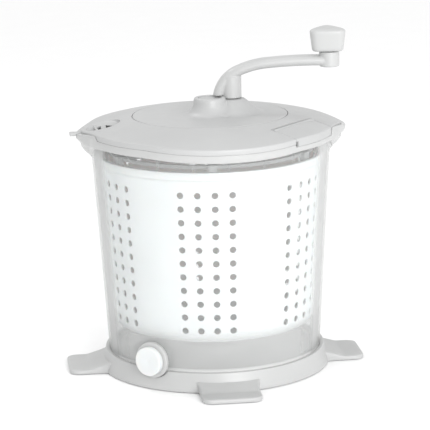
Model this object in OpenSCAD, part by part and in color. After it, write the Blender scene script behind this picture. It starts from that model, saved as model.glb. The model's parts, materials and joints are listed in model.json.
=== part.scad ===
// Hand-cranked salad spinner for a catering kitchen: a clear tub on a four-footed base ring,
// a perforated basket on a pivot, and a lid that holds the crank gearing and the basket drive.
// Millimetres. The origin is on the table, on the tub's axis; +Z is up, the lid's ears lie
// along X, the pouring flap is towards +X and -Y.

/* [Tub] */
// Outer radius of the tub wall at its mouth
tub_mouth_r = 147.4; // [147:0.2:148]
// Slope of the tub wall from the vertical, degrees
tub_taper = 3.4; // [3.2:0.1:3.5]
// Thickness of the tub wall and floor
tub_wall = 2.6; // [2.2:0.2:3]
// Height of the band that stiffens the tub's rim
rim_band = 9.5; // [8:0.5:10]

/* [Base ring and feet] */
// Height of the base ring's top edge
ring_top = 23.5; // [21:0.5:25]
// Radius of the base ring at its foot
ring_r = 142.6; // [142:0.2:144]
// Distance from the axis to the tip of a foot
foot_reach = 184.5; // [180:0.5:188]
// Width of a foot
foot_w = 72; // [64:1:78]

/* [Basket] */
// Height of the basket's rim
basket_top = 268.6; // [266:0.2:269]
// Height of the basket's underside
basket_bottom = 56; // [55.5:0.5:60]
// Outer radius of the basket's rim
basket_rim_r = 139.6; // [139:0.2:140]
// Diameter of a drain hole
hole_d = 7.9; // [5:0.1:9]
// Rows of holes, from top to bottom
hole_rows = 11; // [3:1:11]
// Columns of holes in one group
hole_columns = 4; // [1:1:4]

/* [Lid] */
// Height of the flat middle of the lid
lid_top = 313.6; // [313:0.2:315]
// Radius of the round gear cover
cover_r = 95; // [93:0.5:96]
// Thickness of the lid
lid_shell = 2.6; // [2.2:0.2:2.8]
// Height of the band round the lid's edge
lid_band = 6.4; // [6:0.2:7]
// Radius of the lid's outline away from the ears
main_r = 151.8; // [151:0.2:153]
// How far the outline reaches at the front and back
front_reach = 160; // [158:0.5:161]
// How far the tub's ears reach
ear_reach = 166; // [165:0.2:167]

/* [Drive] */
// Gear module
gear_module = 1; // [0.98:0.01:1.02]
// Radius of the crank shaft
crank_shaft_r = 5; // [4.5:0.1:5.2]
// Radius of the basket spindle
spindle_r = 4; // [3.5:0.1:4.2]

/* [Crank] */
// Distance from the crank's axis to the knob's axis
crank_reach = 120.5; // [110:0.5:124]
// Width of the crank arm
arm_w = 22; // [18:0.5:23]
// Thickness of the crank arm
arm_t = 12.5; // [10:0.5:13]
// Angle at which the crank rests, degrees from +X
crank_turn = -6.5; // [-30:0.5:30]

/* [Hidden] */
$fn = 96;

white = "white";
clear = [0.85, 0.88, 0.88, 0.4];
warm_grey = "gainsboro";
steel = "lightsteelblue";
black = "dimgray";

fix = 0.02;        // radial gap of a pressed fit
run = 0.06;        // radial gap of a running fit
seam = 0.4;        // gap between the lid and the tub's rim
big = 400;         // longer than the whole object

// ---- outline of the lid and rim: a round middle, wider front and back, two ears
front_r = 127;
ear_r = 43;
ear_inset = 6;     // how far the lid's ear tips stay inside the tub's
ear_x = ear_reach - ear_r;
ear_shift = 1.6;   // both ears sit this far towards +X
rim_reach = ear_reach + 4;

// ---- dome of the lid
dome_slope = 0.155;
dome_curl = 1.6e-5;
dome_step = 8;
function dome_curve(x) = lid_top - dome_slope * x - dome_curl * pow(x, 3);
dome_table = [for (i = [-1:11]) [cover_r + i * dome_step, dome_curve(max(0, i) * dome_step)]];
function dome_z(r) = lookup(r, dome_table);
function dome_radii(r0, r1) = concat([r0], [for (p = dome_table) if (p[0] > r0 && p[0] < r1) p[0]], [r1]);
function reverse(list) = [for (i = [len(list) - 1:-1:0]) list[i]];

// ---- tub
rim_drop = lid_band + seam;           // rim's top face below the dome
tub_mouth_z = 288;
tub_foot_z = 9.5;
tub_floor_z = 17;
cone_r = 46;                          // foot of the raised middle of the floor
cone_top_r = 15;
cone_h = 24;
tower_foot = 20;                      // foot of the tube that holds the pivot pin
function tub_r(z) = tub_mouth_r - (tub_mouth_z - z) * tan(tub_taper);
rib_count = 21;
rib_turn = 2 - 90;
lip_drop = 0.6;                       // top of the ear's lip below the dome
step_down = 3.2;                      // rim lowered under the flap's deeper band
step_start = -55.2;
step_sweep = 33.5;

// ---- basket
basket_wall = 2.4;
basket_taper = 3.2;
basket_corner = 12;
collar_h = 11;
top_row_z = 240;
row_pitch = 16.75;
column_angle = 8.9;
group_count = 6;
group_turn = -9.3 - 90;
floor_rings = 3;
floor_pitch = 26;
function basket_r(z) = basket_rim_r - 3.4 - (basket_top - z) * tan(basket_taper);

// ---- pivot under the basket
pin_r = 4;
pin_top = 60;
pin_foot = 27;
cup_r = 9;
cup_foot = 50;
cup_top = 63.5;

// ---- drain, worked in its own frame: +X outwards along the spout
drain_turn = -129;
drain_z = 36.8;
spout_r = 11;
spout_bore_r = 8.5;
pad_r = 18;
pad_in = 126;
pad_out = 135;
neck_r = 19;
flange_in = 137.5;
collar_r = 22;
collar_out = 143;
nose_r = 13;
nose_out = 148;
cap_r = 17.6;
cap_in = 143.6;
cap_out = 150.6;
seal_in = 148.2;
seal_out = 149.2;
washer_t = 1.7;
washer_r = 14;                        // both clear the corner of the tub's floor
nut_t = 4.3;
nut_r = 15.4;

// ---- gearing
gear_teeth = 45;
pinion_teeth = 15;
centre_gap = gear_module * (gear_teeth + pinion_teeth) / 2;
shaft_angle = 19.1;
shaft_x = centre_gap * cos(shaft_angle);
shaft_y = centre_gap * sin(shaft_angle);
gear_z = 290;
gear_h = 8;
pressure_angle = 20;
backlash = 0.12;
bush_r = 8;
case_floor = 281;
case_r = 66;
case_wall = 3;
ledge_r = 70;
ledge_t = 3;
cover_t = 3;
screw_ring = 76;
screw_count = 6;
boss_foot = 279;

// ---- driver
arms = 6;
drive_turn = -5.6 - 90;
arm_z = 271;
arm_top = 276;
lug_r = 132;
lug_w = 11;
lug_foot = 258;

// ---- pouring flap, worked in its own frame: +X outwards across the hinge, Y along it
flap_turn = -41;
hinge_n = 116;
hinge_z = 305.7;
hinge_r = 4.2;
hinge_gap = 0.5;
flap_pin_r = 1.2;
plate_n = 119.2;                      // inner edge of the flap's plate
plate_rib = 2.4;
flap_from = -37.6;
flap_to = 50;
flap_gap = 0.8;
flap_notch = 3.5;                     // skirt starts this far along from the front seam
flap_band = 9.6;
lug_len = 6;                          // lugs that carry the pin at its ends
lug_w2 = 3.5;
lug_cover = 0.7;

// ---- fill scoop in the lid's left ear: its floor falls towards -Y and the rim, to two openings
grid_x = -131;
grid_y = -5;
grid_r = 21.5;
grid_hole_r = 14;
grid_depth = 5.4;
grid_bar = 6;
grid_fall = 15;
grid_lean = -11;
grid_shell = 1.8;
hook_foot = 293.6;
hook_t = 4.4;
hook_w = 9;
hook_reach = 172.6;

// ---- crank
boss_r = 12.4;
boss_foot_z = 331.4;
boss_top_z = 358;
shaft_cover = 6;                      // plastic over the shaft's end
arm_start = [-16.7, 333];
arm_foot_z = 334.8;                   // the arm is trimmed level above the hub
arm_heading = 80;
arm_bends = [[41.5, 55], [110, 20], [600, 7]];   // radius and turn of each stretch
end_foot = 367.4;
end_top = 386;
knob_foot = 387;
knob_top = 416.7;
knob_pin_r = 4;
knob_bore_top = 410;
knob_shift = -2.2;                    // the grip is fuller on the side towards the hub

// ===== shared shapes =====

// Quadrilateral between the common outer tangents of two circles
module belt(c1, r1, c2, r2) {
    d = c2 - c1;
    a = atan2(d[1], d[0]);
    f = acos((r1 - r2) / norm(d));
    function at(c, r, t) = c + r * [cos(t), sin(t)];
    polygon([at(c1, r1, a - f), at(c2, r2, a - f), at(c2, r2, a + f), at(c1, r1, a + f)]);
}

// Outline of the rim or lid, shrunk by inset, with its ears shortened by ear_cut
module outline(inset = 0, ear_cut = 0) {
    r0 = main_r - inset;
    rf = front_r - inset;
    re = ear_r - inset - ear_cut;
    circle(r = r0, $fn = 240);
    for (s = [-1, 1]) {
        front = [0, s * (front_reach - front_r)];
        ear = [s * ear_x + ear_shift, 0];
        translate(front) circle(r = rf, $fn = 240);
        translate(ear) circle(r = re);
        belt([0, 0], r0, front, rf);
        belt([0, 0], r0, ear, re);
    }
}

// Ring between two surfaces parallel to the dome, from r0 out to the widest reach
module dome_band(r0, above, below) {
    radii = dome_radii(r0, rim_reach);
    top = [for (r = radii) [r, dome_z(r) + above]];
    bottom = [for (r = radii) [r, dome_z(r) + below]];
    rotate_extrude($fn = 240) polygon(concat(top, reverse(bottom)));
}

module ring(r_out, r_in, z0, z1) {
    rotate_extrude($fn = 180) translate([r_in, z0]) square([r_out - r_in, z1 - z0]);
}

module at_shaft() { translate([shaft_x, shaft_y, 0]) children(); }

module at_drain() { rotate([0, 0, drain_turn]) translate([0, 0, drain_z]) rotate([0, 90, 0]) children(); }

module at_flap() { rotate([0, 0, flap_turn]) children(); }

module at_crank() { at_shaft() rotate([0, 0, crank_turn]) children(); }

// Drain pieces: a tube between two distances along the spout
module drain_tube(r_out, r_in, x0, x1) {
    at_drain() translate([0, 0, x0]) difference() {
        cylinder(r = r_out, h = x1 - x0);
        if (r_in > 0) translate([0, 0, -1]) cylinder(r = r_in, h = x1 - x0 + 2);
    }
}

// ===== tub and base =====

module tub_wall_profile() {
    w = tub_wall;
    polygon([[0, tub_floor_z + cone_h], [cone_top_r, tub_floor_z + cone_h],
             [cone_r, tub_floor_z], [tub_r(tub_foot_z) - w, tub_floor_z],
             [tub_r(tub_foot_z) - w, tub_foot_z], [tub_r(tub_foot_z), tub_foot_z],
             [tub_r(tub_mouth_z), tub_mouth_z], [tub_r(tub_mouth_z), tub_mouth_z + 6],
             [tub_r(tub_mouth_z) - w, tub_mouth_z + 6], [tub_r(tub_mouth_z) - w, tub_mouth_z],
             [tub_r(tub_floor_z) - w, tub_floor_z + w + 5], [tub_r(tub_floor_z) - w - 5, tub_floor_z + w],
             [cone_r + 1, tub_floor_z + w], [cone_top_r + 1, tub_floor_z + cone_h + w],
             [0, tub_floor_z + cone_h + w]]);
}

// Rim flange: it thins out towards the ears' tips
module tub_rim() {
    wall_in = tub_mouth_r - tub_wall;
    low = rim_drop + rim_band;
    top = [for (r = dome_radii(wall_in, rim_reach)) [r, dome_z(r) - rim_drop]];
    under = [[rim_reach, dome_z(rim_reach) - rim_drop - 1], [ear_reach - 3, 290.5], [ear_reach - 5.2, 286],
             [front_reach + 0.5, dome_z(front_reach) - low], [main_r - 1.6, dome_z(main_r) - low],
             [wall_in, dome_z(wall_in) - low]];
    intersection() {
        rotate_extrude($fn = 240) polygon(concat(top, under));
        linear_extrude(big) outline();
    }
}

// Body of an ear under the flange, sloping in to the tub's wall
module tub_ears() {
    ear_in = tub_mouth_r - tub_wall + 0.2;
    ear_out = ear_reach - 4.6;
    intersection() {
        rotate_extrude($fn = 240) polygon([
            [ear_in, 267.8], [ear_out - 6, 276.1], [ear_out - 1.2, 280.6], [ear_out, 287],
            [ear_out, 289], [ear_in, 289]]);
        linear_extrude(big) for (s = [-1, 1]) translate([s * ear_x + ear_shift, 0]) circle(r = ear_r);
    }
}

// Lip that stands on the flange round the lid's ear tips
module tub_lip() {
    intersection() {
        dome_band(main_r - 4, -lip_drop, -rim_drop - 0.5);
        linear_extrude(big) difference() {
            outline();
            outline(-seam, ear_inset);
        }
        for (a = [0, 180]) rotate([0, 0, a]) translate([140, -50, 0]) cube([60, 100, big]);
    }
}

module tub() color(clear) {
    difference() {
        union() {
            rotate_extrude($fn = 240) tub_wall_profile();
            tub_rim();
            tub_ears();
            tub_lip();
            translate([0, 0, tower_foot]) cylinder(r = cup_r, h = tub_floor_z + cone_h + 5 - tower_foot);
            drain_tube(pad_r, 0, pad_in, pad_out);
            for (i = [0:rib_count - 1])
                rotate([0, 0, rib_turn + i * 360 / rib_count])
                    translate([tub_mouth_r - 5.5, -0.8, 271]) cube([3, 1.6, 16]);
        }
        cylinder(r = cup_r - 3, h = pin_foot);
        translate([0, 0, pin_foot]) cylinder(r = pin_r + fix, h = big);
        drain_tube(spout_r + 0.1, 0, 100, 160);
        // room for the lid's scoop, and a notch for the hook on its left ear
        fill_scoop(grid_shell + 0.6);
        translate([-hook_reach - 5, -hook_w / 2 - 1, hook_foot - 0.3]) cube([30, hook_w + 2, 30]);
        // flange lowered under the flap's deeper band
        rotate([0, 0, step_start]) rotate_extrude(angle = step_sweep, $fn = 240) polygon(concat(
            [for (r = dome_radii(main_r - 5, rim_reach + 2)) [r, dome_z(r) - rim_drop - step_down]],
            [[rim_reach + 2, lid_top], [main_r - 5, lid_top]]));
    }
}

foot_steps = 10;
foot_in = 118;
foot_root = 131;       // the foot rises from its level part to here
foot_flat = 160;       // the foot is level from here to its tip
foot_floor = 0.6;
foot_corner = 13;
foot_fillet = 13;      // its sides curve out into the ring
ring_in = 116;         // ledge under the tub's foot reaches in to here
ring_foot = 0.8;
pad_ring = 166;
foot_pad_r = 12;
foot_pad_h = 2.6;
function foot_z(x) = 6.2 + 10 * pow(max(0, (foot_flat - x) / 28), 1.3);

module foot() {
    places = [for (i = [0:foot_steps]) foot_flat - (foot_flat - foot_root) * i / foot_steps];
    straight = foot_reach - foot_corner;
    fillet_x = foot_root + 2 + foot_fillet;
    fillet_y = foot_w / 2 + foot_fillet;
    intersection() {
        rotate([90, 0, 0]) linear_extrude(foot_w + 40, center = true)
            polygon(concat(
                [[foot_in, foot_floor], [foot_reach, foot_floor], [foot_reach, foot_z(foot_reach)]],
                [for (x = places) [x, foot_z(x)]], [[foot_in, foot_z(foot_root)]]));
        linear_extrude(60) {
            translate([foot_in - 1, -foot_w / 2]) square([straight - foot_in + 1, foot_w]);
            translate([straight - 1, foot_corner - foot_w / 2])
                square([foot_corner + 1, foot_w - 2 * foot_corner]);
            for (s = [-1, 1]) {
                translate([straight, s * (foot_w / 2 - foot_corner)]) circle(r = foot_corner);
                scale([1, s]) polygon(concat([[foot_in, foot_w / 2 - 2], [foot_in, fillet_y]],
                    [for (t = [180:15:270]) [fillet_x, fillet_y] + foot_fillet * [cos(t), sin(t)]],
                    [[fillet_x, foot_w / 2 - 2]]));
            }
        }
    }
}

module base_ring() color(warm_grey) {
    inner = tub_r(ring_top) + 0.4;
    difference() {
        union() {
            rotate_extrude($fn = 240) polygon([
                [ring_r, ring_foot], [ring_r - 0.3, 4], [ring_r - 2, 9], [ring_r - 4, 14], [ring_r - 5.5, 19],
                [ring_r - 6.4, ring_top], [ring_in - 4, ring_top], [ring_in - 4, 6.5],
                [ring_r - 6.5, 6.5], [ring_r - 3, ring_foot]]);
            for (a = [0:90:270]) rotate([0, 0, a]) foot();
        }
        // seat of the tub, and the open middle
        translate([0, 0, tub_foot_z]) cylinder(r = inner, h = 40, $fn = 240);
        translate([0, 0, -1]) cylinder(r = ring_in, h = 40, $fn = 240);
        for (a = [0:90:270]) rotate([0, 0, a])
            translate([pad_ring, 0, 0]) cylinder(r = foot_pad_r + 0.1, h = foot_pad_h);
        drain_tube(collar_r + 0.8, 0, pad_in + 4, cap_out + 10);
    }
}

module foot_pads() color(black) {
    for (a = [0:90:270]) rotate([0, 0, a])
        translate([pad_ring, 0, 0]) cylinder(r = foot_pad_r, h = foot_pad_h);
}

module pivot_pin() color(steel) {
    translate([0, 0, pin_foot]) cylinder(r = pin_r, h = pin_top - pin_foot);
}

module drain_collar() color(warm_grey) {
    tail = pad_in - washer_t - nut_t - 0.6;
    at_drain() rotate_extrude() polygon([
        [spout_bore_r, tail], [spout_r, tail], [spout_r, pad_out], [neck_r, pad_out],
        [neck_r, flange_in], [collar_r, flange_in], [collar_r, collar_out],
        [nose_r, collar_out], [nose_r, nose_out], [spout_bore_r, nose_out]]);
}

module drain_washer() color(black) { drain_tube(washer_r, spout_r + fix, pad_in - washer_t, pad_in); }

module drain_nut() color(white) {
    difference() {
        at_drain() translate([0, 0, pad_in - washer_t - nut_t]) cylinder(r = nut_r, h = nut_t, $fn = 6);
        drain_tube(spout_r + fix, 0, 110, 130);
    }
}

module drain_cap() color(white) {
    difference() {
        drain_tube(cap_r, 0, cap_in, cap_out);
        drain_tube(nose_r + 0.3, 0, cap_in - 1, seal_out + 0.05);
    }
}

module cap_seal() color(black) { drain_tube(nose_r - 0.1, 0, seal_in, seal_out); }

// ===== basket =====

module pivot_cup() color(white) {
    difference() {
        translate([0, 0, cup_foot]) cylinder(r = cup_r, h = cup_top - cup_foot);
        translate([0, 0, cup_foot - 1]) cylinder(r = pin_r + run, h = pin_top + 0.05 - cup_foot + 1);
    }
}

module basket_profile() {
    w = basket_wall;
    b = basket_bottom;
    c = basket_corner;
    low = basket_r(b + c);
    corner = [for (t = [0:15:90]) [low - c + c * sin(t), b + c - c * cos(t)]];
    inside = [for (t = [90:-15:0]) [low - c + (c - w) * sin(t), b + c - (c - w) * cos(t)]];
    polygon(concat([[0, cup_foot], [15, cup_foot], [17, b]], corner, [
        [basket_r(basket_top - collar_h), basket_top - collar_h],
        [basket_rim_r, basket_top - collar_h + 2], [basket_rim_r, basket_top],
        [basket_r(basket_top) - w, basket_top]], inside, [
        [18, b + w], [15, cup_top + 3.5], [0, cup_top + 3.5]]));
}

module basket() color(white) {
    difference() {
        union() {
            rotate_extrude($fn = 240) basket_profile();
            // pairs of ribs that hold each driver lug
            for (i = [0:arms - 1], s = [-1, 1])
                rotate([0, 0, drive_turn + i * 360 / arms])
                    translate([128.5, s * (lug_w / 2 + 2.4) - 1.5, 248]) cube([5.4, 3, 17]);
        }
        translate([0, 0, cup_foot - 1]) cylinder(r = cup_r + run, h = cup_top + 0.05 - cup_foot + 1);
        for (g = [0:group_count - 1], c = [0:hole_columns - 1], k = [0:hole_rows - 1])
            rotate([0, 0, group_turn + g * 360 / group_count + (c - (hole_columns - 1) / 2) * column_angle])
                translate([118, 0, top_row_z - k * row_pitch])
                    rotate([0, 90, 0]) cylinder(r = hole_d / 2, h = 30, $fn = 32);
        // drain holes in the floor, six more in each ring outwards
        for (k = [1:floor_rings], i = [0:6 * (k + 1) - 1])
            rotate([0, 0, i * 60 / (k + 1)]) translate([14 + k * floor_pitch, 0, basket_bottom - 2])
                cylinder(r = hole_d / 2, h = 8, $fn = 32);
    }
}

// ===== driver and gearing =====

module drive_plate() color(warm_grey) {
    difference() {
        union() {
            translate([0, 0, arm_z - 4]) cylinder(r = 14, h = arm_top - arm_z + 4);
            ring(127, 122, arm_z, arm_top - 1);
            for (i = [0:arms - 1]) rotate([0, 0, drive_turn + i * 360 / arms]) {
                translate([10, -lug_w / 2, arm_z]) cube([lug_r - 12, lug_w, arm_top - arm_z]);
                translate([lug_r - 7, -lug_w / 2, lug_foot]) cube([7, lug_w, arm_top - lug_foot]);
            }
        }
        translate([0, 0, arm_z - 5]) cylinder(r = spindle_r + fix, h = 20);
    }
}

module drive_nut() color(steel) {
    difference() {
        translate([0, 0, arm_z - 9]) cylinder(r = 7.5, h = 5, $fn = 6);
        translate([0, 0, arm_z - 10]) cylinder(r = spindle_r + fix, h = 7);
    }
}

module spindle() color(steel) {
    translate([0, 0, arm_z - 10]) cylinder(r = spindle_r, h = 325 - arm_z + 10);
}

// Involute spur gear outline: the flank is traced from the base circle to the tip
function involute(rb, t) = rb * [cos(t) + t * PI / 180 * sin(t), sin(t) - t * PI / 180 * cos(t)];
module gear_2d(teeth) {
    m = gear_module;
    rp = m * teeth / 2;
    rb = rp * cos(pressure_angle);
    ra = rp + 0.95 * m;
    rr = rp - 1.2 * m;
    r0 = max(rb, rr);
    function roll(r) = sqrt(max(0, pow(r / rb, 2) - 1)) * 180 / PI;
    function swing(r) = roll(r) - atan(roll(r) * PI / 180);
    half = 90 / teeth - backlash / rp * 90 / PI + swing(rp);
    radii = [for (i = [0:4]) r0 + (ra - r0) * i / 4];
    right = [for (r = radii) r * [cos(swing(r) - half), sin(swing(r) - half)]];
    left = [for (p = reverse(right)) [p[0], -p[1]]];
    root = [rr * cos(half), rr * sin(half)];
    tooth = concat([[root[0], -root[1]]], right, left, [root]);
    function turn(p, a) = [p[0] * cos(a) - p[1] * sin(a), p[0] * sin(a) + p[1] * cos(a)];
    polygon([for (i = [0:teeth - 1], p = tooth) turn(p, i * 360 / teeth)]);
}

// The pinion is turned by half a tooth so that it is in mesh along the line of centres
module pinion() color(white) {
    mesh_turn = shaft_angle + 180 / pinion_teeth;
    translate([0, 0, gear_z - 1]) difference() {
        rotate([0, 0, mesh_turn]) linear_extrude(gear_h + 2) gear_2d(pinion_teeth);
        translate([0, 0, -1]) cylinder(r = spindle_r + fix, h = gear_h + 4);
    }
}

module crank_gear() color(white) {
    at_shaft() translate([0, 0, gear_z]) difference() {
        union() {
            rotate([0, 0, shaft_angle + 180]) linear_extrude(gear_h) gear_2d(gear_teeth);
            cylinder(r = 9, h = gear_h + 3);
        }
        translate([0, 0, -1]) cylinder(r = crank_shaft_r + fix, h = gear_h + 6);
    }
}

module crank_shaft() color(steel) {
    at_shaft() translate([0, 0, 281.5]) cylinder(r = crank_shaft_r, h = boss_top_z - shaft_cover - 281.5);
}

module clip(r, z) color(steel) {
    translate([0, 0, z]) difference() {
        cylinder(r = r + 3, h = 1);
        translate([0, 0, -1]) cylinder(r = r + fix, h = 3);
    }
}

module spindle_clip() { clip(spindle_r, gear_z + gear_h + 1.4); }
module crank_clip() { at_shaft() clip(crank_shaft_r, gear_z - 1.4); }

module bush(r_bore, z0, z1) color(white) {
    translate([0, 0, z0]) difference() {
        cylinder(r = bush_r, h = z1 - z0);
        translate([0, 0, -1]) cylinder(r = r_bore + run, h = z1 - z0 + 2);
    }
}

module spindle_bush_lower() { bush(spindle_r, boss_foot, boss_foot + 8); }
module spindle_bush_upper() { bush(spindle_r, lid_top - cover_t, 324); }
module crank_bush_lower() { at_shaft() bush(crank_shaft_r, case_floor, case_floor + 6); }
module crank_bush_upper() { at_shaft() bush(crank_shaft_r, lid_top - cover_t, 330.6); }

module gear_case() color(white) {
    flange_top = lid_top - cover_t - ledge_t;
    difference() {
        union() {
            ring(case_r, case_r - case_wall, case_floor, flange_top);
            ring(84, case_r - case_wall, flange_top - 3, flange_top);
            translate([0, 0, case_floor]) cylinder(r = case_r - 1, h = 3);
            translate([0, 0, boss_foot]) cylinder(r = 11, h = 8);
            at_shaft() translate([0, 0, case_floor]) cylinder(r = 11, h = 6);
        }
        cylinder(r = bush_r + fix, h = big);
        at_shaft() cylinder(r = bush_r + fix, h = big);
        for (i = [0:screw_count - 1]) rotate([0, 0, i * 360 / screw_count])
            translate([screw_ring, 0, 300]) cylinder(r = 1.7, h = 20);
    }
}

module case_screws() color(steel) {
    flange_foot = lid_top - cover_t - ledge_t - 3;
    for (i = [0:screw_count - 1]) rotate([0, 0, i * 360 / screw_count])
        translate([screw_ring, 0, flange_foot]) {
            translate([0, 0, -2]) cylinder(r = 3, h = 2);
            cylinder(r = 1.5, h = 8.2);
        }
}

// Flared hub: a ring of turned steps, each a radius and a height above the cover's face
module lobe(steps) {
    top = steps[len(steps) - 1];
    rotate_extrude() polygon(concat([[0, lid_top - 1], [steps[0][0], lid_top - 1]],
        [for (p = steps) [p[0], lid_top + p[1]]], [[0, lid_top + top[1]]]));
}

centre_lobe = [[33, 0], [29, 1.2], [25, 4], [22, 8], [20.3, 12.5], [19.6, 17], [19, 19.6], [17.6, 20.8]];
shaft_lobe = [[40, 0], [34, 2], [28.5, 5.6], [24, 9.4], [20, 13.1], [16.5, 16], [12.8, 17]];
hub_recess_z = 331.4;
cap_disc_r = 14;
boss_gap = 2;

module gear_cover() color(warm_grey) {
    difference() {
        union() {
            translate([0, 0, lid_top - cover_t]) cylinder(r = cover_r, h = cover_t, $fn = 240);
            lobe(centre_lobe);
            at_shaft() lobe(shaft_lobe);
            translate([0, 0, lid_top - cover_t]) cylinder(r = 12, h = 12);
        }
        // seats of the two upper bushes and of the hub cap
        translate([0, 0, lid_top - cover_t - 1]) cylinder(r = bush_r + fix, h = 325 - lid_top + cover_t);
        at_shaft() translate([0, 0, lid_top - cover_t - 1]) cylinder(r = bush_r + fix, h = 40);
        translate([0, 0, 320]) cylinder(r = 5, h = 30);
        translate([0, 0, hub_recess_z]) cylinder(r = cap_disc_r + 0.2, h = 10);
        for (i = [0:screw_count - 1]) rotate([0, 0, i * 360 / screw_count])
            translate([screw_ring, 0, 300]) cylinder(r = 1.5 + fix, h = lid_top - 300 - 0.6);
        // clearance for the crank's boss beside the central hub
        at_shaft() translate([0, 0, lid_top + 17]) cylinder(r = boss_r + boss_gap, h = 20);
    }
}

module hub_cap() color(warm_grey) {
    difference() {
        union() {
            translate([0, 0, hub_recess_z]) cylinder(r = cap_disc_r, h = 1.6);
            translate([0, 0, hub_recess_z - 5]) cylinder(r = 5 - fix, h = 5);
        }
        at_shaft() translate([0, 0, lid_top + 17]) cylinder(r = boss_r + boss_gap, h = 20);
    }
}

// ===== lid =====

lid_in = cover_r + 0.6;
lid_lip = lid_in + 2.6;               // outside of the wall round the gear cover
ledge_foot = lid_top - cover_t - ledge_t;
spigot_r = 142.4;

// Opening in the lid over the flap and round its hinge
module flap_opening() {
    at_flap() translate([hinge_n - hinge_r - hinge_gap, flap_from, 270])
        cube([90, flap_to - flap_from, 60]);
}

// Space of the scoop, or its outside when grown by the thickness of its wall
module fill_scoop(grow = 0) {
    translate([grid_x, grid_y, dome_z(-grid_x) - grid_depth]) rotate([grid_fall, grid_lean, 0])
        translate([0, 0, -grow]) cylinder(r = grid_r + grow, h = 22 + grow);
}

// Lid turned in one piece, its edge cut to the outline and its underside hollowed
module lid_body() {
    top = [for (r = dome_radii(lid_in, rim_reach)) [r, dome_z(r)]];
    under = [for (r = dome_radii(lid_lip + 4, rim_reach)) [r, dome_z(r) - lid_band]];
    difference() {
        intersection() {
            rotate_extrude($fn = 240) polygon(concat(top, reverse(under), [
                [lid_lip, ledge_foot], [ledge_r, ledge_foot], [ledge_r, ledge_foot + ledge_t],
                [lid_in, ledge_foot + ledge_t]]));
            linear_extrude(big) outline(0, ear_inset);
        }
        intersection() {
            dome_band(lid_lip, -lid_shell, -lid_band - 4);
            linear_extrude(big) outline(3, ear_inset);
        }
    }
    ring(spigot_r, spigot_r - 2.4, 287, dome_z(spigot_r) - 1);
    // wall of the fill scoop, under the lid's skin
    intersection() {
        fill_scoop(grid_shell);
        dome_band(100, -1, -18);
        linear_extrude(big) outline(1.5, ear_inset);
    }
    translate([-hook_reach, -hook_w / 2, hook_foot]) cube([18, hook_w, hook_t]);
}

module lid() color(warm_grey) {
    difference() {
        union() {
            difference() {
                lid_body();
                flap_opening();
            }
            // lugs that carry the flap's pin, under the lid's skin
            intersection() {
                dome_band(100, -lug_cover, -20);
                at_flap() for (y = [flap_from - lug_len, flap_to])
                    translate([hinge_n - lug_w2, y, hinge_z - 3.2]) cube([2 * lug_w2, lug_len, 12]);
            }
        }
        fill_scoop();
        // two openings beside a bar, low in the scoop's floor
        intersection() {
            translate([grid_x, grid_y - 5, 280]) difference() {
                cylinder(r = grid_hole_r, h = 40);
                translate([-grid_bar / 2, -30, -1]) cube([grid_bar, 60, 50]);
            }
            fill_scoop(grid_shell + 2);
            cylinder(r = 143.8, h = big);
        }
        for (i = [0:screw_count - 1]) rotate([0, 0, i * 360 / screw_count])
            translate([screw_ring, 0, 300]) cylinder(r = 1.7, h = 20);
        at_flap() translate([hinge_n, flap_to + lug_len + 0.3, hinge_z]) rotate([90, 0, 0])
            cylinder(r = flap_pin_r + fix, h = flap_to - flap_from + 2 * lug_len + 0.6);
    }
}

module lid_seal() color(black) { ring(spigot_r + 1.6, spigot_r + fix, 288, 292); }

module pour_flap() color(warm_grey) {
    y0 = flap_from + flap_gap;
    span = flap_to - flap_from - 2 * flap_gap;
    chamfer_z = dome_z(plate_n) - 1.2;
    difference() {
        union() {
            intersection() {
                dome_band(plate_n - 4, 0, -flap_band);
                linear_extrude(big) outline(0, ear_inset);
                at_flap() translate([plate_n, y0, 200]) cube([80, span, 200]);
            }
            at_flap() translate([hinge_n, y0 + span, hinge_z]) rotate([90, 0, 0])
                cylinder(r = hinge_r, h = span);
            at_flap() translate([hinge_n, y0, hinge_z - 1.8])
                cube([plate_n - hinge_n + 1, span, 1.7]);
        }
        // hollow underside, with a rib left along the hinge
        intersection() {
            dome_band(plate_n - 8, -lid_shell, -flap_band - 20);
            linear_extrude(big) outline(3, ear_inset);
            at_flap() translate([plate_n + plate_rib, y0 - 1, 200]) cube([80, span + 2, 200]);
        }
        // notch in the skirt beside the front seam
        intersection() {
            dome_band(main_r - 14, -lid_shell - 0.4, -flap_band - 5);
            at_flap() translate([plate_n + 10, y0 - 1, 200]) cube([80, flap_notch + 1, 200]);
        }
        at_flap() translate([plate_n, y0 - 1, chamfer_z]) rotate([0, -45, 0]) cube([6, span + 2, 6]);
        at_flap() translate([hinge_n, 0, hinge_z]) rotate([90, 0, 0])
            cylinder(r = flap_pin_r + run, h = 200, center = true);
    }
}

module flap_pin() color(steel) {
    at_flap() translate([hinge_n, flap_to + lug_len, hinge_z]) rotate([90, 0, 0])
        cylinder(r = flap_pin_r, h = flap_to - flap_from + 2 * lug_len);
}

// ===== crank =====

// Cross-section of the arm: a flat oval, thick along X and wide along Y
module arm_section() {
    r = arm_t / 2;
    side = (arm_w - arm_t) / 2;
    polygon(concat([for (t = [0:15:180]) [r * cos(t), side + r * sin(t)]],
                   [for (t = [180:15:360]) [r * cos(t), r * sin(t) - side]]));
}

// The arm's stretches, each an arc that starts where the last one ends and on its heading
function arc_end(p, h, b) =
    let (c = p + b[0] * [sin(h), -cos(h)], n = h - b[1]) c + b[0] * [-sin(n), cos(n)];
module arm_arcs(p, h, i = 0) {
    b = arm_bends[i];
    c = p + b[0] * [sin(h), -cos(h)];
    translate([c[0], 0, c[1]]) rotate([90, 0, 0]) rotate([0, 0, 90 + h - b[1]])
        rotate_extrude(angle = b[1], $fn = 180) translate([b[0], 0]) arm_section();
    if (i < len(arm_bends) - 1) arm_arcs(arc_end(p, h, b), h - b[1], i + 1);
}

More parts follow.
